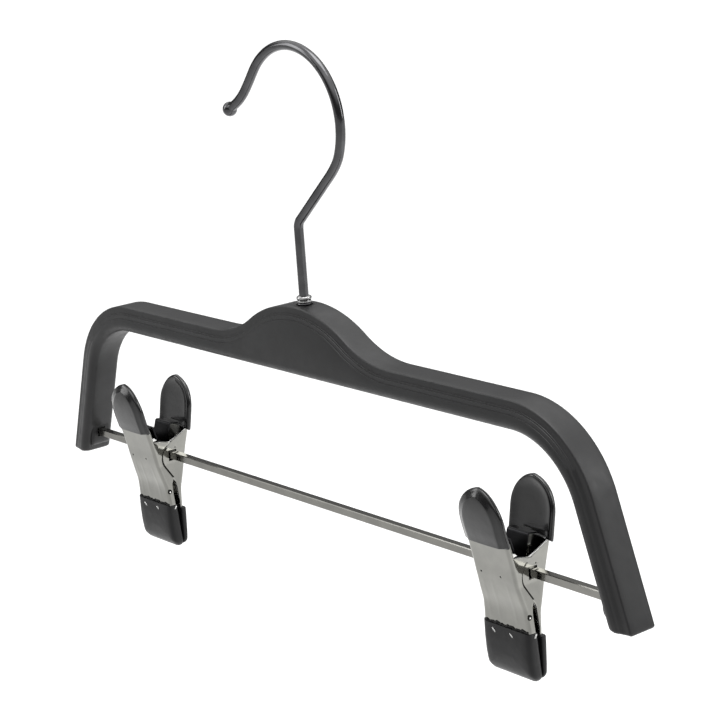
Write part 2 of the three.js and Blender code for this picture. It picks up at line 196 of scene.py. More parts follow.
def moulded_plastic():
    """Charcoal plastic with a fine moulded grain and faint flow marks."""
    made = Material("moulded_plastic", specular=0.42)
    clouds = made.noise(90, 4)
    made.colour(clouds, (0.0070, 0.0070, 0.0074), (0.0105, 0.0105, 0.0110))
    made.roughness(made.noise(240, 2), 0.40, 0.48)
    made.bump(made.noise(5200, 2), 0.00001)
    made.bump(made.noise(500, 2), 0.000012)
    return made.material


def plating_or_painted_light(name, dark, light, rough, brushed, depth=0.000002):
    """Metal with cloudy colour and fine lines from drawing or rolling: black-nickel plating, and also
    painted shade and painted highlights.
    """
    made = Material(name, metallic=1.0)
    made.colour(made.noise(160, 3), dark, light)
    lines = made.noise(900, 3, brushed)
    made.roughness(lines, *rough)
    made.bump(lines, depth)
    return made.material


def vinyl(name, dark, light, rough, grain, coat, specular=0.4):
    """Dipped vinyl: skin with a slight orange peel. It also makes the near-black painted shade along the
    front pad's top edge.
    """
    made = Material(name, coat=coat, coat_roughness=0.1, specular=specular)
    made.colour(made.noise(140, 4), dark, light)
    made.roughness(made.noise(300, 3), *rough)
    made.bump(made.noise(grain, 2), 0.00002)
    made.bump(made.noise(260, 1), 0.00008)
    return made.material


PLASTIC = moulded_plastic()
WIRE = plating_or_painted_light("wire_plating", (0.075, 0.075, 0.078), (0.105, 0.105, 0.108), (0.14, 0.20), (1, 1, 0.2))
RING = plating_or_painted_light("ring_plating", (0.28, 0.28, 0.28), (0.38, 0.38, 0.375), (0.08, 0.14), (1, 1, 1))
STEEL_BAR = plating_or_painted_light("bar_plating", (0.24, 0.236, 0.22), (0.28, 0.276, 0.255), (0.12, 0.18),
                         (0.03, 1, 1))
SHEET_METAL = plating_or_painted_light("sheet_plating", (0.250, 0.249, 0.232), (0.285, 0.283, 0.262), (0.09, 0.13),
                           (1, 1, 0.08), 0.0000008)
# Painted highlight: metal far brighter than the plating, on the sheets' cut edges, the lugs and the pip
# domes
HIGHLIGHT_METAL = plating_or_painted_light("painted_highlight_metal", (0.75, 0.75, 0.73), (0.9, 0.9, 0.88), (0.3, 0.4), (1, 1, 1))
GAP_BLACK = plating_or_painted_light("gap_shadow_black", (0.010, 0.010, 0.009), (0.016, 0.016, 0.014), (0.5, 0.6),
                         (1, 1, 1))
# Painted highlight: the barbs are brighter than the plate they belong to
TOOTH_HIGHLIGHT = plating_or_painted_light("tooth_painted_highlight", (0.55, 0.55, 0.54), (0.65, 0.65, 0.64), (0.2, 0.3), (1, 1, 1))
SPRING_METAL = plating_or_painted_light("spring_steel", (0.014, 0.014, 0.015), (0.022, 0.022, 0.023), (0.30, 0.38),
                            (0.1, 1, 1))
GRIP_VINYL = vinyl("grip_vinyl", (0.0030, 0.0030, 0.0032), (0.0050, 0.0050, 0.0053), (0.20, 0.27), 2600, 0.4)
# Painted shade: near-black for the strip along the front pad's top edge
PAD_EDGE_SHADE = vinyl("pad_edge_painted_shade", (0.0015, 0.0015, 0.0015), (0.0025, 0.0025, 0.0025), (0.6, 0.7), 2600, 0)
PAD_VINYL = vinyl("pad_vinyl", (0.0055, 0.0055, 0.006), (0.0085, 0.0085, 0.009), (0.34, 0.42), 3400, 0, 0.28)


# ---------------------------------------------------------------- meshes


def make_mesh(name, points, faces, material, sharp=32):
    """An object from points in millimetres, smooth but for edges sharper than the angle."""
    mesh = bpy.data.meshes.new(name)
    mesh.from_pydata([Vector(point) * MM for point in points], [], faces)
    work = bmesh.new()
    work.from_mesh(mesh)
    bmesh.ops.remove_doubles(work, verts=work.verts, dist=1e-7)
    bmesh.ops.recalc_face_normals(work, faces=work.faces)
    work.to_mesh(mesh)
    work.free()
    mesh.materials.append(material)
    mesh.shade_smooth()
    mesh.set_sharp_from_angle(angle=sharp * DEGREE)
    made = bpy.data.objects.new(name, mesh)
    bpy.context.collection.objects.link(made)
    return made


def lofted(rings, closed=True, caps=True):
    """Points and faces of rings bridged one to the next."""
    count = len(rings[0])
    points = [point for ring in rings for point in ring]
    faces = []
    for row in range(len(rings) - 1):
        for i in range(count if closed else count - 1):
            j = (i + 1) % count
            faces.append((row * count + i, row * count + j, (row + 1) * count + j, (row + 1) * count + i))
    if caps:
        faces.append(tuple(range(count)))
        faces.append(tuple((len(rings) - 1) * count + i for i in reversed(range(count))))
    return points, faces


def applied(made, *modifiers):
    """The object with these modifiers, given as (kind, settings), made part of its mesh."""
    for kind, settings in modifiers:
        modifier = made.modifiers.new(kind.lower(), kind)
        for name, value in settings.items():
            setattr(modifier, name, value)
    bpy.context.view_layer.update()
    result = bpy.data.meshes.new_from_object(made.evaluated_get(bpy.context.evaluated_depsgraph_get()))
    made.modifiers.clear()
    old = made.data
    made.data = result
    bpy.data.meshes.remove(old)
    return made


def carved(made, *tools):
    """The object with the tools' space cut away."""
    for tool in tools:
        applied(made, ("BOOLEAN", {"operation": "DIFFERENCE", "object": tool, "solver": "EXACT"}))
        bpy.data.objects.remove(tool)
    return made


def block(low, high):
    corners = [(x, y, z) for x in (low[0], high[0]) for y in (low[1], high[1]) for z in (low[2], high[2])]
    sides = [(0, 1, 3, 2), (4, 6, 7, 5), (0, 4, 5, 1), (2, 3, 7, 6), (0, 2, 6, 4), (1, 5, 7, 3)]
    return make_mesh("tool", corners, sides, PLASTIC)


def turned(name, profile, material, sides=64, sharp=32):
    """A closed (radius, height) profile turned about the hook's axis. Heights are above the feet."""
    rings = []
    for i in range(sides):
        angle = 2 * math.pi * i / sides
        rings.append([(r * math.cos(angle), r * math.sin(angle), FOOT + z) for r, z in profile])
    points, faces = lofted([*rings, rings[0]], caps=False)
    return make_mesh(name, points, faces, material, sharp)


def along(start, end, count):
    """Count steps from start to end, without the end."""
    return [start + (end - start) * i / count for i in range(count)]


def arc(centre, radius, start, end, count):
    return [Vector((centre[0] + radius * math.cos(a), centre[1] + radius * math.sin(a)))
            for a in along(start, end, count)]


def curve_at(line, height):
    """Depth and slope of a smooth curve through a line of (depth, height) points."""
    last = len(line) - 2
    i = max(0, min(last, sum(1 for _, z in line[1:] if z < height)))
    (y0, z0), (y1, z1) = line[i], line[i + 1]

    def slope(k):
        low, high = max(k - 1, 0), min(k + 1, len(line) - 1)
        return (line[high][0] - line[low][0]) / (line[high][1] - line[low][1])

    span = z1 - z0
    t = (height - z0) / span
    m0, m1 = slope(i) * span, slope(i + 1) * span
    depth = ((2 * t**3 - 3 * t**2 + 1) * y0 + (t**3 - 2 * t**2 + t) * m0
             + (3 * t**2 - 2 * t**3) * y1 + (t**3 - t**2) * m1)
    grade = ((6 * t**2 - 6 * t) * (y0 - y1) + (3 * t**2 - 4 * t + 1) * m0 + (3 * t**2 - 2 * t) * m1) / span
    return depth, grade


# ---------------------------------------------------------------- body


def body_lines():
    """The outer and the inner outline of the right half, from the middle to the foot.

    Each is a list of functions that give a point for an inset into the plastic."""
    cosine, sine = math.cos(LEG_SPLAY), math.sin(LEG_SPLAY)
    outer_line = HALF_WIDTH * cosine
    inner_line = outer_line - LEG_DEPTH
    corner_z = BEAM_TOP - CORNER_RADIUS
    corner_x = (outer_line - CORNER_RADIUS - corner_z * sine) / cosine
    underside = BEAM_TOP - BEAM_DEPTH
    inner_z = underside - INNER_CORNER_RADIUS
    inner_x = (inner_line - INNER_CORNER_RADIUS - inner_z * sine) / cosine
    hump_z = HUMP_TOP - HUMP_RADIUS
    rise = BEAM_TOP - hump_z
    hollow = (HUMP_HALF_WIDTH**2 + rise**2 - HUMP_RADIUS**2) / (2 * (HUMP_RADIUS - rise))
    hollow_z = BEAM_TOP + hollow
    meet = math.atan2(hollow_z - hump_z, HUMP_HALF_WIDTH)
    quarter = math.pi / 2

    def on_arc(x, z, radius, grows, angle):
        return lambda d: (x + (radius + grows * d) * math.cos(angle),
                          z + (radius + grows * d) * math.sin(angle))

    def level(x, z, rises):
        return lambda d: (x, z + rises * d)

    def on_leg(line, grows, height):
        return lambda d: ((line + grows * d - height * sine) / cosine, height)

    outer, inner = [], []
    for angle in along(quarter, meet, 16):
        outer.append(on_arc(0, hump_z, HUMP_RADIUS, -1, angle))
    for angle in along(meet + math.pi, 3 * quarter, 12):
        outer.append(on_arc(HUMP_HALF_WIDTH, hollow_z, hollow, 1, angle))
    for x in along(HUMP_HALF_WIDTH, corner_x, 12):
        outer.append(level(x, BEAM_TOP, -1))
    for place in outer:
        inner.append(level(place(0)[0] * inner_x / corner_x, underside, 1))
    for angle in along(quarter, LEG_SPLAY, 28):
        outer.append(on_arc(corner_x, corner_z, CORNER_RADIUS, -1, angle))
        inner.append(on_arc(inner_x, inner_z, INNER_CORNER_RADIUS, 1, angle))
    outer_foot = corner_z + CORNER_RADIUS * sine
    inner_foot = inner_z + INNER_CORNER_RADIUS * sine
    for t in along(0, 1, 10):
        outer.append(on_leg(outer_line, -1, outer_foot + (FOOT_ROUND - outer_foot) * t))
        inner.append(on_leg(inner_line, 1, inner_foot + (FOOT_ROUND - inner_foot) * t))
    return outer, inner, lambda height: (on_leg(outer_line, -1, height), on_leg(inner_line, 1, height))


FOOT_ROUND = 1.3
RELIEF = 1.9  # how far the contours stand out on the hump, the beam and the corners
LEG_RELIEF = 0.35
FADE_FROM = 48  # the rows along the outline over which the contours fade out
FADE_ROWS = 18
CREST = box_mm("hanger_body")[1].y

# The moulding's section as (inset, depth from the middle plane): fine raised contours on the
# outer part of each face, then a smooth fall to the inner edge.
OUTER_EDGE = [(0, 0), (0, 2.8), (0, 5.6), (0.06, 5.86), (0.2, 6.06), (0.45, 6.17), (0.9, 6.2),
              (1.7, 6.3)]
CONTOURS = [(2.8, 6.42), (2.92, 6.6), (3.5, 6.65), (3.62, 6.82), (4.5, 6.9), (5.3, 6.96), (5.42, 7.12),
            (6.0, 7.2), (6.7, CREST - 0.02)]
INNER_SECTION = [(3.3, CREST), (2.6, CREST - 0.06), (1.8, CREST - 0.3), (1.1, CREST - 0.75), (0.5, 6.15),
                 (0.14, 5.6), (0, 4.9), (0, 2.5), (0, 0)]


def body_section(outer, inner, relief, shrink=0.0):
    """One ring of points across the moulding, front first. Relief is how far the contours stand out."""
    start, end = OUTER_EDGE[-1], CONTOURS[-1]
    half = [(outer, d, y) for d, y in OUTER_EDGE]
    for d, y in CONTOURS:
        smooth = start[1] + (end[1] - start[1]) * (d - start[0]) / (end[0] - start[0])
        half.append((outer, d, smooth + (y - smooth) * relief))
    half += [(inner, d, y) for d, y in INNER_SECTION]
    ring = []
    for side, place in ((-1, half), (1, half[::-1][1:-1])):
        for line, d, y in place:
            x, z = line(d + shrink)
            ring.append((x, side * max(y - shrink, 0), FOOT + z))
    return ring


def hanger_body():
    outer, inner, foot_lines = body_lines()
    right = []
    for i, pair in enumerate(zip(outer, inner)):
        faded = min(max((i - FADE_FROM) / FADE_ROWS, 0), 1)
        right.append(body_section(*pair, RELIEF + (LEG_RELIEF - RELIEF) * faded))
    for height, shrink in ((FOOT_ROUND, 0), (0.75, 0.12), (0.3, 0.5), (0, 1.2)):
        right.append(body_section(*foot_lines(height), LEG_RELIEF, shrink))
    left = [[(-x, y, z) for x, y, z in ring] for ring in right[:0:-1]]
    points, faces = lofted([*left, *right])
    body = make_mesh("hanger_moulding", points, faces, PLASTIC, 40)
    bore = [(0, 60), (4.3, 60), (4.3, 73.5), (3.0, 73.5), (3.0, 92.1), (3.4, 92.3), (3.4, 97), (0, 97)]
    return carved(body, turned("tool", bore, PLASTIC, 48))


def bar_boss(side):
    """The block inside a leg that holds the end of the bar."""
    face = 164.6
    outline = [(face, 13.2), (face, 6.4), (face + 0.5, 4.7), (face + 1.5, 3.5), (face + 3, 2.95),
               (face + 6, 2.9), (face + 6, 14), (face + 0.5, 14)]
    rings = []
    for y in (-4.7, 4.7):
        rings.append([(side * x, y, FOOT + z) for x, z in outline])
    boss = make_mesh(f"{'left' if side < 0 else 'right'}_bar_boss", *lofted(rings), PLASTIC)
    socket = 2.05
    reach = sorted((side * (face - 2), side * (face + 4)))
    hole = block((reach[0], -socket, BAR.z - socket), (reach[1], socket, BAR.z + socket))
    applied(boss, ("BEVEL", {"width": 0.8 * MM, "segments": 4, "limit_method": "ANGLE",
                             "angle_limit": 50 * DEGREE}))
    carved(boss, hole)
    mesh = boss.data
    mesh.shade_smooth()
    mesh.set_sharp_from_angle(angle=35 * DEGREE)
    return boss


# ---------------------------------------------------------------- hook


def ahead(start, angle, distance):
    return start + distance * Vector((math.cos(angle), math.sin(angle)))


def eased(a, b, c, d, count):
    """A cubic curve from a to d, pulled towards b and c."""
    return [a * (1 - t)**3 + b * 3 * t * (1 - t)**2 + c * 3 * t**2 * (1 - t) + d * t**3
            for t in along(0, 1, count)]


def hook_path():
    right = math.pi / 2
    bend_centre = Vector((SHANK_BEND, SHANK_TOP))
    bend_top = ahead(bend_centre, right + RISE_SLOPE, SHANK_BEND)
    rise_top = ahead(bend_top, RISE_SLOPE, RISE_LENGTH)
    round_start = ahead(HOOK_CENTRE, ROUND_FROM, HOOK_RADIUS)
    round_end = ahead(HOOK_CENTRE, ROUND_TO, HOOK_RADIUS)
    path = [Vector((0, z)) for z in along(SHANK_FOOT, SHANK_TOP, 24)]
    path += arc(bend_centre, SHANK_BEND, 2 * right, right + RISE_SLOPE, 12)
    path += [bend_top.lerp(rise_top, t) for t in along(0, 1, 16)]
    path += eased(rise_top, ahead(rise_top, RISE_SLOPE, 5), ahead(round_start, ROUND_FROM - right, 5),
                  round_start, 16)
    path += arc(HOOK_CENTRE, HOOK_RADIUS, ROUND_FROM, ROUND_TO, 90)
    path += eased(round_end, ahead(round_end, ROUND_TO + right, 9), ahead(HOOK_TIP, TIP_SLOPE, 9),
                  HOOK_TIP, 40)
    return path


def hook_wire():
    """Round wire whose radius swells into the ball at its tip."""
    path = hook_path()
    ball = HOOK_TIP + Vector((-1.2, -0.8))
    heading = (ball - path[-1]).normalized()
    wire_length = len(path)
    path += [ball + heading * BALL_RADIUS * math.sin(t) for t in along(-45 * DEGREE, 89.5 * DEGREE, 22)]
    sides = 28
    rings = []
    for i, place in enumerate(path):
        before, after = path[max(i - 1, 0)], path[min(i + 1, len(path) - 1)]
        run = (after - before).normalized()
        across = Vector((run.y, -run.x))
        from_ball = (place - ball).length
        swell = math.sqrt(max(BALL_RADIUS**2 - from_ball**2, 0))
        radius = max(WIRE_RADIUS, swell) if i < wire_length + 8 else swell
        ring = []
        for k in range(sides):
            turn = 2 * math.pi * k / sides
            spot = place + across * radius * math.cos(turn)
            ring.append((spot.x, radius * math.sin(turn), FOOT + spot.y))
        rings.append(ring)
    return make_mesh("hook_bent_wire", *lofted(rings), WIRE, 50)


def hook_fittings():
    """The bright beaded collar, the dark bushing under it, and the washer and nut below the beam."""
    inner = WIRE_RADIUS + 0.05
    bead = [(inner, 93.8), (2.7, 93.8), (2.85, 93.95), (2.85, 94.3), (2.6, 94.55), (2.72, 94.75)]
    for angle in along(-60, 100, 10):
        bead.append((2.35 + 0.78 * math.cos(angle * DEGREE), 95.45 + 0.8 * math.sin(angle * DEGREE)))
    bead += [(2.2, 96.4), (inner, 96.4)]
    collar = turned("hook_bead_collar", bead, RING, 64, 40)
    flange = [(2.3, 73.8), (2.7, 73.8), (2.7, 92.7), (3.05, 92.7), (3.1, 92.8), (3.1, 93.3), (2.95, 93.5),
              (2.3, 93.5)]
    bushing = turned("hook_bushing_sleeve", flange, WIRE)
    washer = [(inner + 0.3, 72.2), (3.7, 72.2), (3.9, 72.35), (3.9, 73.05), (3.7, 73.2), (inner + 0.3, 73.2)]
    nut = [(inner + 0.3, 68.9), (3.2, 68.9), (3.6, 69.3), (3.6, 71.5), (3.2, 71.9), (inner + 0.3, 71.9)]
    return (collar, bushing, turned("hook_plain_washer", washer, RING),
            turned("hook_hex_nut", nut, RING, 6, 20))


# ---------------------------------------------------------------- bar


def clip_bar():
    """Square bar with broken edges and chamfered ends."""
    low, high = box_mm("clip_bar")
    half = (high.z - low.z) / 2

    def section(x, size):
        edge = 0.28
        corners = []
        for y, z in ((-1, -1), (1, -1), (1, 1), (-1, 1)):
            if y * z > 0:
                first, last = (y, z * (1 - edge / size)), (y * (1 - edge / size), z)
            else:
                first, last = (y * (1 - edge / size), z), (y, z * (1 - edge / size))
            corners += [first, last]
        return [(x, BAR.y + y * size, BAR.z + z * size) for y, z in corners]

    stations = [(low.x, half - 0.3), (low.x + 0.3, half), *((x, half) for x in along(-160, 168, 24)),
                (high.x - 0.3, half), (high.x, half - 0.3)]
    return make_mesh("square_clip_bar", *lofted([section(*station) for station in stations]), STEEL_BAR, 30)


# ---------------------------------------------------------------- clips


class Clip:
    """Makes the pieces of one clip. Points are (across, depth, height) in the clip's own frame."""

    def __init__(self, side):
        self.side = side
        low, high = box_mm(f"{side}_front_plate")
        self.origin = Vector(((low.x + high.x) / 2, BAR.y, BAR.z))

    def place(self, point):
        return self.origin + Vector(point)

    def mesh(self, name, points, faces, material, sharp=32):
        placed = [self.place(point) for point in points]
        return make_mesh(f"{self.side}_{name}", placed, faces, material, sharp)

    def plate(self, name, line, way, half_width, flange, heights, holes):
        """A bent sheet: a web along the line, and two side flanges that reach to flange(height).

        way is the side of the web that the flanges stand on, -1 for the rear plate."""
        half = half_width - SHEET / 2
        rows = []
        for height in heights:
            web, _ = curve_at(line, height)
            corner = [(half - BEND * (1 - math.cos(a)), web + way * BEND * (1 - math.sin(a)))
                      for a in along(0, math.pi / 2, 5)]
            reach = max(way * (flange(height) - web), BEND + 0.15)
            right = [(half, web + way * (BEND + (reach - BEND) * t)) for t in (1, 0.75, 0.5, 0.25)]
            right += corner
            flat = [(x, web + ribs(name, x, height)) for x in along(half - BEND, BEND - half, 48)]
            left = [(-x, y) for x, y in reversed(right)]
            flat.append((BEND - half, web))
            rows.append([(x * flare(height), y, height) for x, y in (*right, *flat, *left)])
        made = self.mesh(name, *lofted(rows, closed=False, caps=False), SHEET_METAL, 60)
        # The sheet's cut edges take the bright metal as painted highlight
        made.data.materials.append(HIGHLIGHT_METAL)
        applied(made, ("SOLIDIFY", {"thickness": SHEET * MM, "offset": 0, "use_even_offset": True,
                                    "material_offset_rim": 1}))
        carved(made, *holes)
        applied(made, ("BEVEL", {"width": 0.12 * MM, "segments": 2, "limit_method": "ANGLE",
                                 "angle_limit": 50 * DEGREE}))
        made.data.shade_smooth()
        made.data.set_sharp_from_angle(angle=40 * DEGREE)
        return made

    def slot(self, low, high):
        return block(self.place(low), self.place(high))

    def pin(self, centre, axis, radius, reach):
        """A round tool along x (axis 0) or y (axis 1)."""
        rings = []
        for end in (-reach, reach):
            ring = []
            for i in range(20):
                turn = 2 * math.pi * i / 20
                offset = Vector((0, radius * math.cos(turn), radius * math.sin(turn)))
                if axis == 1:
                    offset = Vector((offset.y, 0, offset.z))
                offset[axis] = end
                ring.append(Vector(centre) + offset)
            rings.append(ring)
        return self.mesh("tool", *lofted(rings), PLASTIC)


def ribs(name, x, height):
    """Shallow pressed ribs that run down the front plate."""
    if not name.startswith("front"):
        return 0
    along_rib = min(max((-3 - height) / 3, 0), 1) * min(max((height + 21) / 3, 0), 1)
    depth = 0
    for middle in (-7.4, -2.6, 5.4):
        depth += math.exp(-((x - middle) / 0.7)**2)
    return -RIB_DEPTH * depth * along_rib


def flare(height):
    """The plates widen towards the jaw."""
    return 1 + FLARE * min(max((FLARE_FROM - height) / (FLARE_FROM - FLARE_TO), 0), 1)


def rear_flange(height):
    """Depth of the rear plate's flange edge: a slope down to the round front, then to the jaw."""
    edge = [(9.2, 10.4), (6.4, 9.2), (-2.6, 5.5)]
    foot = [(-5.67, -5.1), (-1.7, -10.6), (-0.3, -12), (0.3, -14), (0.8, -22), (1.1, -24.6), (1.3, -27)]
    return flange_depth(height, edge, REAR_EAR, foot)


def front_flange(height):
    """Depth of the front plate's flange edge, which is cut out round the bar."""
    edge = [(-10.9, 8.0), (-7, 7.6), (-1.1, 6.3), (-3.7, 4.6)]
    foot = [(-5.6, -4.7), (-1.8, -10.6), (-2.8, -12.6), (-3.0, -15.4), (-2.7, -21.5), (-2.4, -27)]
    return flange_depth(height, edge, FRONT_EAR, foot)


def flange_depth(height, edge, ear, foot):
    """Depth of a flange's edge: a line of points, then the round ear, then a second line."""
    if height > edge[-1][1]:
        return straight(edge, height)
    if height > foot[0][1]:
        return EAR.x - math.sqrt(ear**2 - (height - EAR.y)**2)
    return straight(foot, height)


def straight(line, height):
    """Depth on a line of (depth, height) points, carried on past its ends."""
    for (y0, z0), (y1, z1) in zip(line, line[1:]):
        if height >= z1 or (y1, z1) == line[-1]:
            return y0 + (y1 - y0) * (height - z0) / (z1 - z0)
    return line[-1][0]


def plates(clip):
    bar_hole = 2.15
    rear_heights = [*along(11.5, 3.5, 24), *along(3.5, -6, 26), *along(-6, -27, 26), -27]
    rear_holes = [clip.slot((-12, -bar_hole, -bar_hole - 0.5), (12, bar_hole, bar_hole)),
                  clip.pin((0, 1.6, 3.0), 0, 0.32, 12)]
    rear = clip.plate("rear_sheet", REAR_LINE, -1, REAR_HALF, rear_flange, rear_heights, rear_holes)
    front_heights = [*along(14.2, 8.2, 8), *along(8.2, 4.2, 26), *along(4.2, -6, 28), *along(-6, -25, 26),
                     -25]
    front_holes = [clip.pin((x, -9, -1), 1, 0.42, 2) for x in (-7.3, 3.1)]
    front = clip.plate("front_sheet", FRONT_LINE, 1, FRONT_HALF, front_flange, front_heights, front_holes)
    return rear, front


def gap_shadow(clip, side):
    """A thin dark strip behind the front flange's edge. It stands for the shadow in the gap there."""
    surface = side * (REAR_HALF + 0.02)
    heights = [*along(6.1, 4.6, 10), *along(4.6, -4.7, 32), *along(-4.7, -10.4, 16), -10.4]
    rings = []
    for height in heights:
        edge = front_flange(height)
        widths = ((-0.5, 0), (1.4, 0), (1.4, 0.05), (-0.5, 0.05))
        rings.append([((surface + side * rise) * flare(height), edge + width, height)
                      for width, rise in widths])
    return clip.mesh(f"{'left' if side < 0 else 'right'}_gap_shadow", *lofted(rings), GAP_BLACK)


def lug(clip, side):
    """A small flat ear turned up at a top corner of the front plate, in bright metal as painted highlight.
    """
    outline = [(-11.3, 9.6), (-9.3, 9.7), (-8.0, 8.6), (-10.4, 8.2), (-10.9, 8.4)]
    rings = [[(side * x, y, z) for y, z in outline] for x in (10.1, 10.9)]
    made = clip.mesh(f"{'left' if side < 0 else 'right'}_lug", *lofted(rings), HIGHLIGHT_METAL)
    applied(made, ("BEVEL", {"width": 0.15 * MM, "segments": 2, "limit_method": "ANGLE",
                             "angle_limit": 50 * DEGREE}))
    made.data.set_sharp_from_angle(angle=40 * DEGREE)
    return made


def round_boss(clip, name, centre, profile, material):
    """A (radius, rise) profile turned about a line across the front plate's right flange."""
    depth, height = centre
    surface = FRONT_HALF * flare(height)
    rings = []
    for radius, rise in profile:
        rings.append([(surface + rise, depth + radius * math.cos(a), height + radius * math.sin(a))
                      for a in along(0, 2 * math.pi, 28)])
    return clip.mesh(name, *lofted(rings), material, 40)


def pip(clip):
    """A round pressed mark low on the front plate's flange: a dome in bright metal as painted highlight,
    inside a flat near-black ring that is painted shade for its groove.
    """
    groove = round_boss(clip, "pip_groove_painted_shade", (-4.7, -16), [(1.1, -0.1), (1.1, 0.03), (0.3, 0.04)], GAP_BLACK)
    dome = round_boss(clip, "pip_dome", (-4.6, -16.1), [(0.4, 0), (0.36, 0.14), (0.2, 0.2), (0.02, 0.22)],
                      HIGHLIGHT_METAL)
    return groove, dome


def painted_pad_edge_shade(clip):
    """A thin near-black strip along the front pad's wavy top edge, across the plate: painted shade."""
    rings = []
    for x in [*along(-11.2, 11.7, 90), 11.7]:
        height = -21.95 + PAD_WAVE * ripple(x)
        rings.append([(x, -5.55 + SHADE_STRIP_RADIUS * math.cos(a), height + SHADE_STRIP_RADIUS * math.sin(a))
                      for a in along(0, 2 * math.pi, 10)])
    return clip.mesh("pad_edge_shade_strip", *lofted(rings), PAD_EDGE_SHADE, 60)


def tooth(clip, name, start, end, radius):
    """A slim barb of the front plate that shows through its pad, in metal brighter than the plate's as
    painted highlight.
    """
    start, end = Vector(start), Vector(end)
    run = (end - start).normalized()
    away = Vector((1, 0, 0)) if abs(run.x) < 0.1 else Vector((0, 1, 0))
    across = run.cross(away)
    rings = []
    for t in (0, 0.04, 0.15, 0.4, 0.7, 0.9, 1):
        spot = start.lerp(end, t)
        size = radius * math.sqrt(max(1 - (2 * t - 1)**4, 0.02))
        rings.append([spot + across * size * math.cos(a) + away * size * math.sin(a)
                      for a in along(0, 2 * math.pi, 12)])
    return clip.mesh(name, *lofted(rings), TOOTH_HIGHLIGHT, 50)


def arch_ring(inset, foot_inset, half, foot, top, lean, bow):
    """A pointed arch inset by a distance. It starts at the middle of its foot and runs to the right.

    The foot is bowed up in the middle."""
    radius = half + lean - inset
    spring = top - math.sqrt((half + lean)**2 - lean**2)
    right = half - inset
    base = foot + foot_inset
    points = [(x, base + bow * (1 - (x / half)**2)) for x in along(0, right, 9)]
    points += [(right, z) for z in along(base + bow * (1 - (right / half)**2), spring, 12)]
    peak = math.acos(min(lean / radius, 1))
    points += [(-lean + radius * math.cos(a), spring + radius * math.sin(a)) for a in along(0, peak, 18)]
    apex = (0, spring + math.sqrt(max(radius**2 - lean**2, 0)))
    left = [(-x, z) for x, z in reversed(points[1:])]
    return [*points, apex, *left]


def capped(rings):
    """Rings bridged, with the first and the last filled across from side to side."""
    points, faces = lofted(rings, caps=False)
    count = len(rings[0])
    for start, flip in ((0, True), ((len(rings) - 1) * count, False)):
        for i in range(count // 2):
            corners = [i, i + 1, count - i - 1, (count - i) % count]
            corners = list(dict.fromkeys(corners))
            face = tuple(start + corner for corner in corners)
            faces.append(face[::-1] if flip else face)
    return points, faces


# The grips' section as (inset from the outline, distance out from the middle of the sheet):
# the inner face has a dished middle inside a rim, and the outer face a flat middle inside a ridge
# and a broad sloping border.
GRIP_INSIDE = [(8.6, -0.75), (6, -0.76), (4.4, -0.85), (3.2, -1.02), (2.2, -1.28), (1.5, -1.48),
               (0.95, -1.52), (0.5, -1.4), (0.15, -1.05), (0, -0.6)]
GRIP_OUTSIDE = [(0, 0.1), (0.12, 0.45), (0.45, 0.72), (1.2, 0.95), (2.2, 1.32), (2.9, 1.62), (3.15, 1.75),
                (3.35, 1.8), (4.2, 1.83), (6, 1.9), (8.6, 1.95)]


def grip(clip, name, line, out, foot, top, bow):
    """A vinyl cap on a handle. out is the side of its outer face, -1 for the front."""
    rings = []
    for inset, away in [*GRIP_INSIDE, *GRIP_OUTSIDE]:
        foot_inset = min(inset, 0.35)
        if away < 0 and inset > 2:
            foot_inset = min(inset - 1.4, 1)
        ring = []
        for x, z in arch_ring(inset, foot_inset, GRIP_HALF, foot, top, GRIP_LEAN, bow):
            depth, grade = curve_at(line, z)
            length = math.hypot(1, grade)
            ring.append((x, depth + out * away / length, z - out * away * grade / length))
        rings.append(ring)
    return clip.mesh(name, *capped(rings), GRIP_VINYL, 60)


FRONT_PAD_OUTSIDE = [(-6.1, -22), (-6.2, -28), (-5.9, -34), (-5.1, -39), (-3.4, -41.8), (-2.7, -42.6)]
FRONT_PAD_INSIDE = [(-1.7, -22), (0.1, -41), (0.1, -42.6)]
REAR_PAD_OUTSIDE = [(3.4, -24.6), (3.4, -28), (3.1, -36), (2.7, -40.4), (2.0, -42)]
REAR_PAD_INSIDE = [(0.5, -24.6), (0.45, -42)]

# Section of a pad as (inset from the outline, share of the way from the inner to the outer face)
PAD_SECTION = [(9.0, 0), (4, 0), (1, 0), (0.35, 0.04), (0.08, 0.14), (0, 0.3), (0.02, 0.55), (0.2, 0.72),
               (0.6, 0.85), (1.3, 0.94), (2.4, 0.99), (5, 1), (9.0, 1)]


def ripple(x):
    """The uneven height of a dipped edge, between about -1 and 1."""
    return 0.6 * math.sin(x * 0.9) + 0.4 * math.sin(x * 2.3 + 1) + 0.2 * math.sin(x * 4.1)


def pad_ring(inset, half, foot, top, radius, wave):
    """A pad's outline inset by a distance: round lower corners and a cut, wavy upper edge."""
    right = half - inset
    base = foot + inset
    corner = max(radius - inset, 0.4)
    upper = top - min(inset, 0.5)
    points = [(x, base) for x in along(0, right - corner, 6)]
    points += [(right - corner + corner * math.sin(a), base + corner - corner * math.cos(a))
               for a in along(0, math.pi / 2, 8)]
    points += [(right, z) for z in along(base + corner, upper, 14)]
    points += [(x, upper) for x in along(right, 0, 26)]
    left = [(-x, z) for x, z in reversed(points[1:])]
    ring = [*points, (0, upper), *left]
    fade = max(1 - inset / 2, 0)
    shaped = []
    for x, z in ring:
        nearness = max(0, 1 - (upper - z) / 1.5)
        shaped.append((x, z + wave * fade * nearness * ripple(x)))
    return shaped


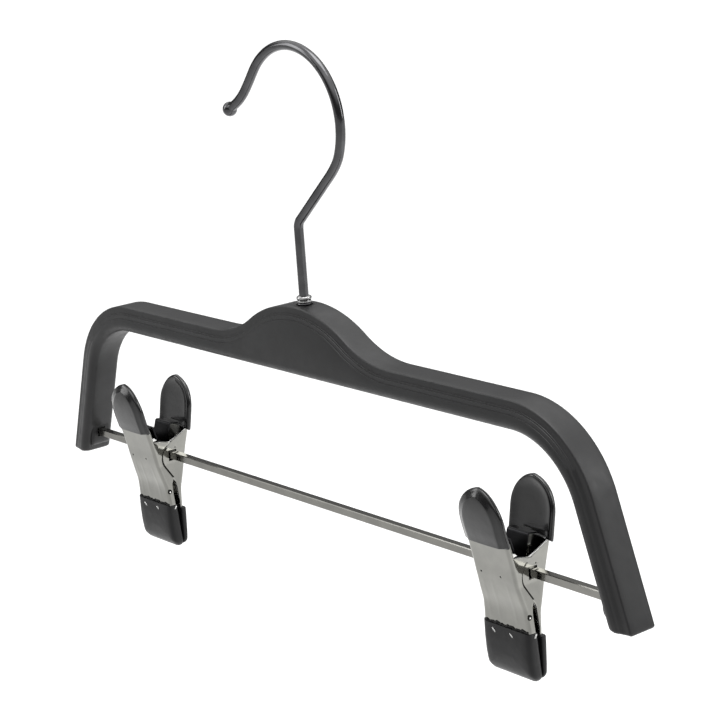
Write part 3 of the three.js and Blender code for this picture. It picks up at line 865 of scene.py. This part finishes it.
def pad(clip, name, inside, outside, foot, top):
    rings = []
    for inset, share in PAD_SECTION:
        ring = []
        for x, z in pad_ring(inset, PAD_HALF, foot, top, PAD_CORNER, PAD_WAVE):
            inner, outer = straight(inside, z), straight(outside, z)
            ring.append((x, inner + (outer - inner) * share, z))
        rings.append(ring)
    return clip.mesh(name, *capped(rings), PAD_VINYL, 60)


def rounded(line, radius, count):
    """The line with its inner corners turned into short curves."""
    path = [line[0]]
    for before, corner, after in zip(line, line[1:], line[2:]):
        start = corner + (before - corner).normalized() * radius
        end = corner + (after - corner).normalized() * radius
        path += eased(start, corner, corner, end, count)
        path.append(end)
    return [*path, line[-1]]


def spring(clip):
    """A strip bent into a narrow U between the handles, with its ends turned outwards."""
    bend, radius, sheet, half = Vector((-1.5, 5.1)), 2.3, 0.6, 5.6
    sides = {}
    for way, fold, tip in ((-1, (-6.4, 13.6), (-10.2, 12.6)), (1, (3, 13), (7.1, 12.2))):
        foot = bend + Vector((way * radius, 0))
        sides[way] = rounded([foot, Vector(fold), Vector(tip)], 1.5, 10)
    path = [*reversed(sides[-1]), *arc(bend, radius, math.pi, 2 * math.pi, 24)[1:], *sides[1]]
    rings = []
    for i, place in enumerate(path):
        run = (path[min(i + 1, len(path) - 1)] - path[max(i - 1, 0)]).normalized()
        across = Vector((run.y, -run.x)) * sheet / 2
        inside, outside = place - across, place + across
        rings.append([(x, spot.x, spot.y) for x, spot in
                      ((-half, inside), (half, inside), (half, outside), (-half, outside))])
    made = clip.mesh("bent_spring", *lofted(rings), SPRING_METAL, 40)
    clip.place((0, 1, 6)) * MM
    clip.place((0, -4, 6)) * MM
    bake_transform(made)
    return made


def add_clip(side):
    clip = Clip(side)
    frame_body, jaw = f"{side}_clip", f"{side}_jaw"
    rear_sheet, front_sheet = plates(clip)
    rear_grip = grip(clip, "rear_thumb_grip", REAR_LINE, 1, 9.3, 32.6, 0.7)
    front_grip = grip(clip, "front_thumb_grip", FRONT_LINE, -1, 12.3, 34.3, 0)
    rear_pad = pad(clip, "rear_jaw_pad", REAR_PAD_INSIDE, REAR_PAD_OUTSIDE, -42, -24.6)
    front_pad = pad(clip, "front_jaw_pad", FRONT_PAD_INSIDE, FRONT_PAD_OUTSIDE, -42.6, -22)
    pieces = [
        (rear_sheet, frame_body, "rear_plate", "clip_plating"),
        (front_sheet, jaw, "front_plate", "clip_plating"),
        (rear_grip, frame_body, "rear_grip", "grip_vinyl"),
        (front_grip, jaw, "front_grip", "grip_vinyl"),
        (rear_pad, frame_body, "rear_pad", "pad_vinyl"),
        (front_pad, jaw, "front_pad", "pad_vinyl"),
    ]
    for piece, body, node, slot in pieces:
        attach(piece, body)
        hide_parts(f"{side}_{node}")
    details = [*pip(clip), painted_pad_edge_shade(clip), lug(clip, -1), lug(clip, 1),
               gap_shadow(clip, -1), gap_shadow(clip, 1),
               tooth(clip, "side_tooth", (PAD_HALF, -3.4, -24.3), (PAD_HALF, -2.2, -22.9), 0.4),
               tooth(clip, "left_face_tooth", (-7.2, -6.1, -24.2), (-5.3, -6.1, -25.7), 0.32),
               tooth(clip, "right_face_tooth", (2.3, -6.1, -24.2), (4.0, -6.1, -25.5), 0.28)]
    for piece in details:
        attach(piece, jaw)
    leaf = spring(clip)
    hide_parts(f"{side}_spring")


# ---------------------------------------------------------------- assembly


def assemble():
    body = hanger_body()
    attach(body, "hanger")
    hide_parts("hanger_body")
    for side in (-1, 1):
        boss = bar_boss(side)
        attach(boss, "hanger")
    wire = hook_wire()
    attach(wire, "hook")
    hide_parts("hook_wire")
    collar, bushing, washer, nut = hook_fittings()
    for piece, body_name, node in ((collar, "hook", "hook_collar"), (bushing, "hanger", "hook_bushing"),
                                   (washer, "hook", "hook_washer"), (nut, "hook", "hook_nut")):
        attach(piece, body_name)
        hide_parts(node)
    bar = clip_bar()
    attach(bar, "hanger")
    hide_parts("clip_bar")
    add_clip("left")
    add_clip("right")


# ---------------------------------------------------------------- studio


def floor():
    """A pale floor, well below the hanging object, its colour darker towards the front as painted shade."""
    drop = CAD_BOX[0].z - 0.45
    span = 24.0
    steps = 4
    points = [(span * (2 * i / steps - 1), span * (2 * j / steps - 1), drop)
              for i in range(steps + 1) for j in range(steps + 1)]
    faces = []
    for i in range(steps):
        for j in range(steps):
            a = i * (steps + 1) + j
            faces.append((a, a + 1, a + steps + 2, a + steps + 1))
    mesh = bpy.data.meshes.new("studio_floor")
    mesh.from_pydata(points, [], faces)
    made = Material("pale_floor_and_painted_shade", roughness=0.95, specular=0.1)
    depth = made.nodes.new("ShaderNodeSeparateXYZ")
    made.links.new(made.place, depth.inputs["Vector"])
    # Painted shade: the floor's colour darkens towards the front
    behind = made.spread(depth.outputs["Y"], 0, 1, -0.6, 0.2)
    made.colour(behind, (0.62, 0.62, 0.62), (0.96, 0.96, 0.96), 0, 1)
    mesh.materials.append(made.material)
    ground = bpy.data.objects.new("studio_floor", mesh)
    bpy.context.collection.objects.link(ground)


def lamp(name, place, target, size, power):
    light = bpy.data.lights.new(name, "AREA")
    light.shape = "RECTANGLE"
    light.size, light.size_y = size
    light.energy = power
    made = bpy.data.objects.new(name, light)
    made.location = place
    made.rotation_mode = "QUATERNION"
    made.rotation_quaternion = (Vector(target) - Vector(place)).to_track_quat("-Z", "Y")
    bpy.context.collection.objects.link(made)
    return made


def sky():
    """A white light tent, open and darker low down all round."""
    world = bpy.data.worlds.new("white_studio")
    world.use_nodes = True
    nodes, links = world.node_tree.nodes, world.node_tree.links
    direction = nodes.new("ShaderNodeSeparateXYZ")
    links.new(nodes.new("ShaderNodeTexCoord").outputs["Generated"], direction.inputs["Vector"])
    rise = nodes.new("ShaderNodeMapRange")
    for name, number in (("From Min", 0.32), ("From Max", 0.6), ("To Min", 0.14), ("To Max", 1.5)):
        rise.inputs[name].default_value = number
    links.new(direction.outputs["Z"], rise.inputs["Value"])
    background = nodes["Background"]
    background.inputs["Color"].default_value = (1, 1, 1, 1)
    links.new(rise.outputs["Result"], background.inputs["Strength"])
    return world


def studio():
    bpy.context.scene.view_settings.view_transform = "Standard"
    bpy.context.scene.world = sky()
    middle = (0, 0, -0.12)
    lamp("top_softbox", (0.1, 0.1, 1.1), middle, (0.8, 0.8), 9)
    lamp("left_softbox", (-1.0, -0.9, 0.5), middle, (0.6, 0.9), 6)
    lamp("rear_strip", (1.1, 0.9, 0.45), middle, (0.3, 0.9), 6)


def camera():
    """From the front right and a little above, leaning slightly clockwise."""
    azimuth, elevation, roll = 51.67 * DEGREE, 14.5 * DEGREE, 4.11 * DEGREE
    data = bpy.data.cameras.new("camera")
    data.sensor_width = 36
    data.lens = 107.9
    made = bpy.data.objects.new("camera", data)
    back = Vector((math.sin(azimuth) * math.cos(elevation), -math.cos(azimuth) * math.cos(elevation),
                   math.sin(elevation)))
    made.location = (0.6703, -0.5039, 0.0912)
    made.rotation_mode = "QUATERNION"
    made.rotation_quaternion = (-back).to_track_quat("-Z", "Y") @ Quaternion((0, 0, 1), -roll)
    bpy.context.collection.objects.link(made)
    bpy.context.scene.camera = made


camera()
studio()
floor()
assemble()
